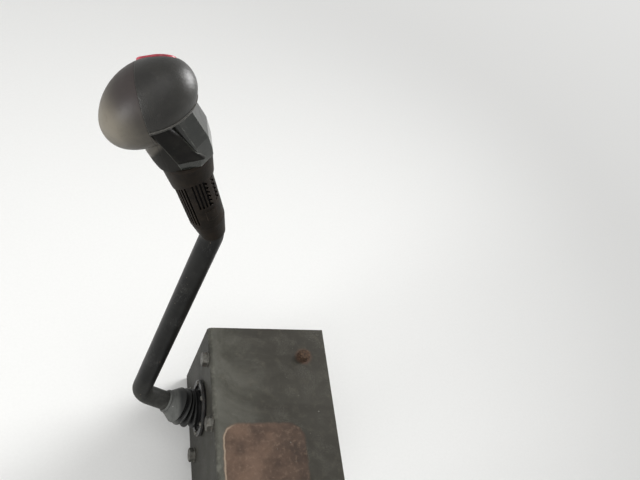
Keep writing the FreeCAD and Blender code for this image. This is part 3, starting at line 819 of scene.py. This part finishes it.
def shaft_path(name):
    """The tube's centre line in front of the riser: two straight runs and a bend, as a curve."""
    round_handle = 4 / 3 * math.tan(shaft_turn / 4) * SHAFT_BEND
    knots = [(Vector(), first_way, HANDLE, HANDLE),
             (SHAFT_CORNER - first_way * bend_reach, first_way, HANDLE, round_handle),
             (SHAFT_CORNER + second_way * bend_reach, second_way, round_handle, HANDLE),
             (ELBOW_CORNER, second_way, HANDLE, HANDLE)]
    curve = bpy.data.curves.new(name, "CURVE")
    curve.dimensions = "3D"
    curve.resolution_u = 24
    spline = curve.splines.new("BEZIER")
    spline.bezier_points.add(len(knots) - 1)
    for knot, (point, heading, before, after) in zip(spline.bezier_points, knots):
        knot.co = point
        knot.handle_left = point - heading * before
        knot.handle_right = point + heading * after
    return curve


print("the shaft turns by", round(math.degrees(shaft_turn), 1), "degrees")

# %% Boot recipe
BOOT = {"Foot Radius": 0.0358, "Foot Thickness": 0.0024, "First Crest": 0.012,
        "Fold Pitch": 0.008, "Crest Radius": 0.0265, "Crest Fall": 0.00025,
        "Valley Radius": 0.0205, "Neck Radius": 0.0246, "Neck Start": 0.010, "Neck End": 0.016,
        "Last Crest": 0.036, "Cuff Radius": 0.0137, "Cuff End": 0.0545, "Bead": 0.0010}
BOOT_STEP, BOOT_ROUND = 0.00025, 96
FOLD_FULLNESS, CONE_CURVE = 0.75, 1.08
BEAD_FROM_END, BEAD_HALF = 0.0018, 0.0016


def boot_radius(recipe, run):
    """The boot's radius at a run along the shaft, and its two masks: crests and cone."""
    phase = (run - recipe["First Crest"]) / recipe["Fold Pitch"]
    wave = maths(recipe.tree, "COSINE", phase * (2 * math.pi)) * 0.5 + 0.5
    folds_start = recipe["First Crest"] - recipe["Fold Pitch"] * 0.5
    crest = wave.most(0.0) ** FOLD_FULLNESS * run.past(folds_start, 0.0001)
    high = recipe["Crest Radius"] - phase * phase * recipe["Crest Fall"]
    by_riser = 1 - run.step(recipe["Neck Start"], recipe["Neck End"])
    low = recipe["Valley Radius"] + (recipe["Neck Radius"] - recipe["Valley Radius"]) * by_riser
    folds = low + (high - low) * crest

    cuff_end, last_crest = recipe["Cuff End"], recipe["Last Crest"]
    fall = ((run - last_crest) / (cuff_end - last_crest)).clamped() ** CONE_CURVE
    off_bead = (run - cuff_end + BEAD_FROM_END) / BEAD_HALF
    bead = (1 - off_bead ** 2).most(0.0) * recipe["Bead"]
    cone = high - (high - recipe["Cuff Radius"]) * fall + bead
    on_cone = run.past(last_crest, 0.00001)
    radius = folds + (cone - folds) * on_cone
    on_foot = 1 - run.past(recipe["Foot Thickness"], 0.00005)
    return radius + (recipe["Foot Radius"] - radius) * on_foot, crest, on_cone


def boot_recipe():
    sizes = {label: "Float" for label in ("Start", "End", *BOOT)}
    recipe = Recipe("folded_boot", {"Path": "Geometry", **sizes, "Material": "Material"})
    trimmed = recipe.node("TrimCurve", {"Curve": recipe["Path"], "Start_001": recipe["Start"],
                                        "End_001": recipe["End"]}, mode="LENGTH")
    fine = recipe.node("ResampleCurve", {"Curve": trimmed, "Length": BOOT_STEP}, mode="LENGTH")
    run = recipe.node("SplineParameter", out="Length") + recipe["Start"]
    radius, crest, on_cone = boot_radius(recipe, run)
    crests = {"Geometry": fine, "Name": "crest", "Value": crest.most(on_cone)}
    marked = recipe.node("StoreNamedAttribute", crests, data_type="FLOAT", domain="POINT")
    circle = recipe.node("CurvePrimitiveCircle", {"Resolution": BOOT_ROUND, "Radius": 1.0}, mode="RADIUS")
    swept = recipe.node("CurveToMesh", {"Curve": marked, "Profile Curve": circle, "Scale": radius})
    recipe.finish(swept)
    return recipe


boot_tree = boot_recipe()

# %% Boot rubber
def boot_rubber():
    f = Finish("boot_rubber")
    crest = f.node("Attribute", out="Fac", attribute_name="crest")
    cloud = 0.45 + f.noise(0.012, 6.0, 0.65) * 0.6
    cone = f.x.rise(-0.030, -0.037)
    dusty = ((crest ** 2 * cloud).clamped() * 0.20 + cone * cloud).clamped()
    f.base((16, 16, 16), (92, 93, 90), dusty)
    ring_lines = f.noise(0.0020, 4.0, 0.6, f.turned(stretch=(1, 0.15, 0.15)))
    f.coat((50, 50, 49), ring_lines.rise(0.45, 0.70) * 0.4 * cone)
    f.coat((190, 190, 184), f.specks(0.006, 0.12, 0.09) * 0.85)
    grain = f.noise(0.0008) + ring_lines * 0.6
    return f.surface(0.48 + dusty * 0.32, grain, 0.00012, shine=DULL)


boot_finish = boot_rubber()
print("boot finish", boot_finish.name)

# %% [markdown]
# ## The boot in two pieces
# The boot bends between the riser and the cradle and twists between the cradle and the lever. A
# piece can only be blended across one joint, so the boot is parted at the bottom of its last fold.
# Each piece gets its wall inwards from the swept form.

# %% Grow the boot
BOOT_WALL, BOOT_PARTING, CUFF_END = 0.0016, 0.032, BOOT["Cuff End"]


def boot_piece(name, start, end):
    values = {**BOOT, "Start": start, "End": end, "Material": boot_finish}
    piece = smooth(grown(name, boot_tree, values, shaft_path(name)), 60)
    wall = piece.modifiers.new("wall", "SOLIDIFY")
    wall.thickness, wall.offset = BOOT_WALL, -1.0
    made_plain(piece)
    print(name, "faces", len(piece.data.polygons))
    return piece


boot_folds = boot_piece("boot_folds", 0.0, BOOT_PARTING)
boot_cone = boot_piece("boot_cone", BOOT_PARTING, CUFF_END)
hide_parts("bellows")
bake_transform(boot_folds)
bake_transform(boot_cone)

# %% [markdown]
# ## Bolts, washers and screws
# Four hexagon bolts with washers hold the riser, a rusty one holds the deck, and six small screws
# hold the boot's ring. A hexagon head isn't a plain prism: its top is turned down by a cone, which
# leaves the arcs on its flats. The head is built ring by ring from that rule. A small tree sets
# bolts and screws out on their points and turns each by chance, from a fixed seed.

# %% Turned and hexagonal forms
ROUND = 48
CHAMFER_RADIUS, DISH_RADIUS = 0.96, 0.55
POINT_RADIUS, POINT_LENGTH, RIM = 0.82, 0.25, 0.2


def around(count, start=0.0):
    """Angles evenly round a circle."""
    return [2 * math.pi * (i + start) / count for i in range(count)]


def ringed(name, rings):
    """A closed form from rings of points about Z, capped at both ends."""
    points = [point for ring in rings for point in ring]
    faces = [(low + i, low + (i + 1) % ROUND, low + ROUND + (i + 1) % ROUND, low + ROUND + i)
             for low in range(0, len(points) - ROUND, ROUND) for i in range(ROUND)]
    caps = [range(ROUND - 1, -1, -1), range(len(points) - ROUND, len(points))]
    return mesh_of(name, points, faces=faces + [tuple(cap) for cap in caps])


def turned_ring(radius, height):
    return [(radius * math.cos(a), radius * math.sin(a), height) for a in around(ROUND)]


def hexagon_rings(flats, base, height):
    """A hexagon head between two heights, its top turned down by a cone of 30 degrees."""
    half, slope = flats / 2, math.tan(math.radians(30))
    lower, upper = [], []
    for angle in around(ROUND):
        off_flat = (angle + math.pi / 6) % (math.pi / 3) - math.pi / 6
        reach = half / math.cos(off_flat)
        point = Vector((math.cos(angle) * reach, math.sin(angle) * reach, 0))
        lower.append(point + Z * base)
        upper.append(point + Z * (height - (reach - half * CHAMFER_RADIUS) * slope))
    return [lower, upper, turned_ring(half * CHAMFER_RADIUS, height),
            turned_ring(half * DISH_RADIUS, height)]


def bolt_mesh(name, size, flats, head, washer_radius, washer, tail):
    """Washer, head and shank of one bolt, standing on z = 0 with its shank below."""
    radius, rim = size / 2, washer * RIM
    shank = [turned_ring(radius * POINT_RADIUS, -tail),
             turned_ring(radius, radius * POINT_LENGTH - tail), turned_ring(radius, 0.0)]
    plate = [turned_ring(washer_radius, 0.0), turned_ring(washer_radius, washer - rim),
             turned_ring(washer_radius - rim, washer)]
    return ringed(name, shank + plate + hexagon_rings(flats, washer, washer + head))


print("hexagon corner", round(0.017 / math.sqrt(3), 4))

# %% Bolts on the riser
BOLT_HALF_Y, BOLT_HALF_Z = 0.045, 0.060
BOLT = {"size": 0.010, "flats": 0.017, "head": 0.0064, "washer_radius": 0.0105,
        "washer": 0.0018, "tail": 0.022}


def set_out_recipe():
    """Stands a piece on every point of a mesh, pointing along -X, each turned by chance."""
    recipe = Recipe("set_out", {"Points": "Geometry", "Piece": "Object", "Seed": "Int",
                                "Material": "Material"})
    piece = recipe.node("ObjectInfo", {"Object": recipe["Piece"]}, "Geometry")
    spin = recipe.vector(recipe.chance() * (2 * math.pi))
    recipe.finish(recipe.instances(recipe["Points"], piece, spin))
    return recipe


set_out = set_out_recipe()


def set_pieces(name, data, points, seed, material):
    """Copies of a mesh that stands on Z, laid forwards on the points, as one plain mesh."""
    data.transform(Matrix.Rotation(-math.pi / 2, 4, "Y"))
    piece = new_object(name + "_piece", data)
    made = grown(name, set_out, {"Piece": piece, "Seed": seed, "Material": material},
                 mesh_of(name + "_points", points))
    bpy.data.objects.remove(piece)
    return smooth(made, 30)


def bolt_steel():
    f = Finish("bolt_steel")
    dull = f.noise(0.006, 4.0, 0.6).rise(0.35, 0.70)
    f.base((100, 99, 93), (70, 68, 63), dull)
    rust = f.noise(0.004, 5.0, 0.65).rise(0.58, 0.70)
    f.coat((108, 74, 50), rust * 0.7)
    height = f.noise(0.0008) * 0.4 - rust * 0.5
    return f.surface(0.42 + dull * 0.15 + rust * 0.3, height, 0.00012, 0.0005, metallic=0.7 - rust * 0.6)


bolt_finish = bolt_steel()
bolt_points = [(0, y, z) for y in (-BOLT_HALF_Y, BOLT_HALF_Y) for z in (-BOLT_HALF_Z, BOLT_HALF_Z)]
riser_bolts = set_pieces("riser_bolts", bolt_mesh("riser_bolt", **BOLT), bolt_points, 3, bolt_finish)
fit(riser_bolts, "riser")

# %% Screws on the ring
SCREW_CIRCLE, SCREW_COUNT, SCREW_RADIUS, SCREW_HEIGHT = 0.0338, 6, 0.0034, 0.0022
RING_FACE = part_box("bellows_ring")[0].x


def screw_mesh(name, radius, height):
    """A low domed head with a socket in its middle, turned about Z."""
    dome = [turned_ring(radius, -0.0020), turned_ring(radius, 0.0003)]
    for share in (0.35, 0.65, 0.88, 1.0):
        angle = share * math.pi / 2
        dome.append(turned_ring(radius * (math.cos(angle) * 0.75 + 0.25), height * math.sin(angle)))
    socket = [turned_ring(radius * across, height * up)
              for across, up in ((0.22, 1.0), (0.20, 0.45), (0.02, 0.40))]
    return ringed(name, dome + socket)


screw_points = [(RING_FACE, SCREW_CIRCLE * math.cos(a), SCREW_CIRCLE * math.sin(a))
                for a in around(SCREW_COUNT, 0.5)]
ring_screws = set_pieces("ring_screws", screw_mesh("ring_screw", SCREW_RADIUS, SCREW_HEIGHT),
                         screw_points, 5, bolt_finish)
fit(ring_screws, "riser")

# %% [markdown]
# ## The rusty deck bolt
# One bolt on the deck has lost its plating. Its head is brown and scaly, and rust has run into the
# paint round it. It is the same bolt form, smaller and with another finish, upright on the deck.

# %% Deck bolt
DECK_BOLT_SIZES = {"size": 0.008, "flats": 0.013, "head": 0.0053, "washer_radius": 0.0085,
                   "washer": 0.0014, "tail": 0.014}
DECK_BOLT_TURN = 0.3


def scaly_rust():
    f = Finish("rusty_bolt")
    scale = f.noise(0.0022, 5.0, 0.65)
    f.base((78, 60, 46), (48, 39, 33), scale.rise(0.35, 0.65))
    f.coat((112, 82, 58), f.noise(0.0010).rise(0.58, 0.70) * 0.5)
    height = scale * 0.8 + f.noise(0.0007) * 0.4
    return f.surface(0.78 + scale * 0.15, height, 0.0005, 0.0010, shine=DULL)


deck_bolt = new_object("deck_bolt", bolt_mesh("deck_bolt", **DECK_BOLT_SIZES))
deck_bolt.data.transform(Matrix.Translation(DECK_BOLT) @ Matrix.Rotation(DECK_BOLT_TURN, 4, "Z"))
paint(deck_bolt.data, scaly_rust())
fit(smooth(deck_bolt, 30), "riser")

# %% [markdown]
# ## Weld beads on the cheeks
# The bearing cheeks are welded to the riser's back. A weld bead is a row of overlapping puddles,
# so a line is cut into steps and each step gets a flattened ball, with sizes that vary a little.

# %% Weld beads
SHEET, CHEEK_ROOT = 0.004, 0.036
WELD = {"Pitch": 0.0018, "Bead Radius": 0.0026, "Seed": 11}


def bead_recipe():
    recipe = Recipe("weld_bead", {"Line": "Geometry", "Pitch": "Float", "Bead Radius": "Float",
                                  "Seed": "Int", "Material": "Material"})
    curve = recipe.node("MeshToCurve", {"Mesh": recipe["Line"]})
    steps = recipe.node("ResampleCurve", {"Curve": curve, "Length": recipe["Pitch"]}, mode="LENGTH")
    ball = recipe.node("MeshIcoSphere", {"Radius": recipe["Bead Radius"], "Subdivisions": 2})
    ball = recipe.node("SetShadeSmooth", {"Geometry": ball})
    share = recipe.chance() * 0.25 + 0.88
    scale = recipe.vector(share, share * 0.9, share * 0.8)
    recipe.finish(recipe.instances(steps, ball, scale=scale))
    return recipe


def weld_steel():
    f = Finish("weld_paint")
    f.base((46, 46, 45), (34, 34, 34), f.noise(0.004, 4.0).rise(0.4, 0.6))
    rust = f.noise(0.005, 5.0, 0.65).rise(0.56, 0.72)
    f.coat((104, 72, 50), rust * 0.6)
    return f.surface(0.45 + rust * 0.35, f.noise(0.0007), 0.0002)


weld_rows = [corner.y for cheek in ("bearing_cheek_left", "bearing_cheek_right")
             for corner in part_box(cheek)]
weld_ends = [(SHEET, y, z) for y in weld_rows for z in (-CHEEK_ROOT, CHEEK_ROOT)]
weld_lines = mesh_of("weld_lines", weld_ends, edges=[(i, i + 1) for i in range(0, len(weld_ends), 2)])
cheek_welds = grown("cheek_welds", bead_recipe(), {**WELD, "Material": weld_steel()}, weld_lines)
fit(cheek_welds, "riser")

# %% [markdown]
# ## Thread on the shaft's end
# The nut runs on a rolled thread. A spiral with a three-cornered section wound round the shaft's
# end gives it real flanks; the winding starts behind the washer and stops at the end of the shaft.

# %% Shaft thread
THREAD_RADIUS, THREAD_PITCH, TOOTH = 0.0068, 0.0015, 0.0006


def thread_recipe():
    recipe = Recipe("rolled_thread", {"Turns": "Float", "Radius": "Float", "Length": "Float",
                                      "Tooth": "Float", "Start": "Vector", "Material": "Material"})
    radius = recipe["Radius"]
    spiral = recipe.node("CurveSpiral", {"Resolution": 40, "Rotations": recipe["Turns"],
                                         "Start Radius": radius, "End Radius": radius,
                                         "Height": recipe["Length"]})
    tooth = recipe.node("CurvePrimitiveCircle", {"Resolution": 3, "Radius": recipe["Tooth"]}, mode="RADIUS")
    wound = recipe.node("CurveToMesh", {"Curve": spiral, "Profile Curve": tooth, "Fill Caps": True})
    recipe.finish(recipe.node("Transform", {"Geometry": wound, "Rotation": (0, math.pi / 2, 0),
                                            "Translation": recipe["Start"]}))
    return recipe


washer_back, shaft_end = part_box("shaft_washer")[1].x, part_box("roll_shaft")[1].x
thread_length = shaft_end - washer_back - 2 * TOOTH
shaft_thread = grown("shaft_thread", thread_recipe(),
                     {"Turns": thread_length / THREAD_PITCH, "Radius": THREAD_RADIUS,
                      "Length": thread_length, "Tooth": TOOTH,
                      "Start": (washer_back + TOOTH, 0, 0), "Material": zinc},
                     mesh_of("thread_host", []))
fit(shaft_thread, "lever")

# %% [markdown]
# ## Floor, lamps and surroundings
# The lever stands on a pale studio floor under three soft lamps. They light only the floor near
# them, so farther out it glows a little, up to the tone of the surroundings, or a dark edge would
# show against them. The surroundings look brighter than they shine, so that a colour renders about
# as it is written.

# %% Floor
SURROUND_LIGHT, SURROUND_SEEN = 0.52, 0.74
FLOOR_SIZE, FLOOR_TONE = 30.0, (232, 232, 230)
GLOW = SURROUND_SEEN - SURROUND_LIGHT * tone(*FLOOR_TONE)[0]
LAMP_FOOT = Vector((-0.4, -0.9, 0))
GLOW_FROM, GLOW_FULL = 0.4, 3.6


def floor_finish():
    f = Finish("studio_floor")
    speckle = f.noise(0.004)
    f.base(FLOOR_TONE, (226, 226, 224), speckle)
    far = f.away(LAMP_FOOT).rise(GLOW_FROM, GLOW_FULL)
    glow = f.mixed((0, 0, 0, 1), (GLOW, GLOW, GLOW, 1), far)
    return f.surface(0.8, speckle, 0.0001, shine=0.0, glow=glow)


floor_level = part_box("riser_panel")[0].z
corners = [(x * FLOOR_SIZE, y * FLOOR_SIZE, floor_level)
           for x, y in ((-1, -1), (1, -1), (1, 1), (-1, 1))]
studio_floor = new_object("studio_floor", mesh_of("studio_floor", corners, faces=[(0, 1, 2, 3)]))
paint(studio_floor.data, floor_finish())
print("floor at", round(floor_level, 3))

# %% Surroundings
def surroundings():
    world = bpy.data.worlds.new("studio")
    world.use_nodes = True
    tree = world.node_tree
    tree.nodes.clear()
    camera_ray, glossy_ray, clear_ray = (
        make_node(tree, "ShaderNodeLightPath", out=f"Is {kind} Ray")
        for kind in ("Camera", "Glossy", "Transmission"))
    seen = camera_ray.most(glossy_ray).most(clear_ray)
    strength = SURROUND_LIGHT + seen * (SURROUND_SEEN - SURROUND_LIGHT)
    sky = make_node(tree, "ShaderNodeBackground", {"Color": (1, 1, 1, 1), "Strength": strength})
    make_node(tree, "ShaderNodeOutputWorld", {"Surface": sky})
    scene.world = world


surroundings()
scene.view_settings.view_transform = "Standard"
print("surroundings seen at", SURROUND_SEEN)

# %% Lamps
def lamp(name, position, target, size, power, spread):
    """A round soft lamp that points at a target; a narrow spread keeps it off the floor."""
    data = bpy.data.lights.new(name, "AREA")
    data.shape, data.size, data.energy, data.spread = "DISK", size, power, math.radians(spread)
    made = new_object(name, data)
    made.location = position
    made.rotation_euler = (Vector(target) - Vector(position)).to_track_quat("-Z", "Y").to_euler()
    print(name, "of", power, "W")


lamp("overhead_lamp", LAMP_FOOT + Z * 2.8, Z * 0.25, size=2.6, power=22, spread=180)
lamp("rear_lamp", (1.3, 0.8, 0.9), head_middle, size=0.9, power=8, spread=70)
lamp("front_lamp", (-1.6, -0.8, 0.42), head_middle, size=0.7, power=5, spread=80)

# %% [markdown]
# ## Last update
# The view layer is brought up to date.

# %% Update
bpy.context.view_layer.update()
